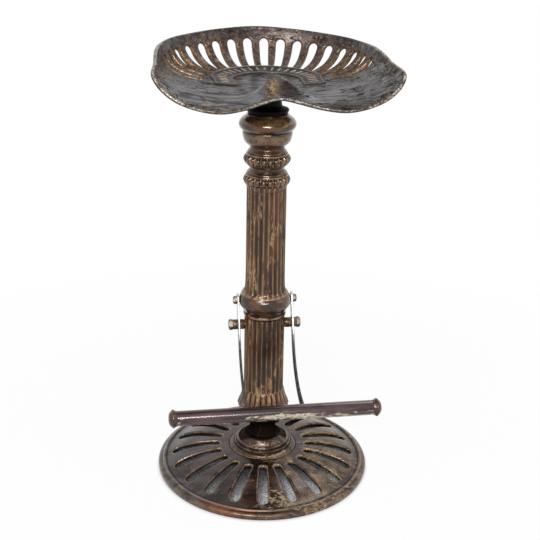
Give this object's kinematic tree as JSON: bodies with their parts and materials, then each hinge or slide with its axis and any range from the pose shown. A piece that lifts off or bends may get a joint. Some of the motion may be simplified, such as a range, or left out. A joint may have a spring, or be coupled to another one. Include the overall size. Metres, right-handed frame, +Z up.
{
  "type": "tractor seat stool",
  "caption": "Cast-iron stool: a pierced bucket seat turns on a fluted column with a pierced round base, and a footrest bar folds up from the column's collar.",
  "frame": {"origin": "on the floor, on the column's axis, at the centre of the base's rim", "axes": "+Z up along the column, -Y towards the seat's front and the footrest bar, +X to the right as seen from the front; left and right in names are as seen from the front"},
  "size_m": [0.39, 0.39, 0.785],
  "materials": {
    "cast_iron": "rusty brown, waxed",
    "worn_iron": "brown with worn ridges",
    "seat_iron": "polished by use, streaky",
    "steel": "dull",
    "bright_steel": "bright, spotted",
    "bronze": "plain"
  },
  "bodies": {
    "stand": {"base_casting": "cast_iron", "lower_column": "worn_iron", "collar_ring": "cast_iron", "upper_column": "worn_iron", "capital": "cast_iron", "swivel_cap": "cast_iron", "column_screw": "steel", "cap_screw": "steel", "tie_rod": "steel", "tie_washer_lower": "steel", "tie_nut_lower": "steel", "tie_washer_upper": "steel", "tie_nut_upper": "steel", "swivel_bush": "bronze", "thrust_washer": "bronze", "pivot_bolt_left": "steel", "pivot_bolt_right": "steel", "stop_bolt_left": "steel", "stop_bolt_right": "steel", "stop_sleeve_left": "worn_iron", "stop_sleeve_right": "worn_iron"},
    "seat": {"seat_casting": "seat_iron", "seat_hub": "cast_iron", "hub_screw": "steel", "swivel_spindle": "steel", "spindle_washer": "steel", "spindle_nut": "steel"},
    "footrest": {"foot_arm_left": "bright_steel", "foot_arm_right": "bright_steel", "foot_bar": "bright_steel", "foot_bar_cap_left": "worn_iron", "foot_bar_cap_right": "worn_iron"}
  },
  "joints": [
    {"name": "seat_swivel", "type": "hinge", "parent": "stand", "child": "seat", "pos_m": [0, 0, 0.663], "axis": [0, 0, 1], "continuous": true},
    {"name": "footrest_fold", "type": "hinge", "parent": "stand", "child": "footrest", "pos_m": [0, 0, 0.33], "axis": [-1, 0, 0], "range_deg": [0, 118]}
  ]
}
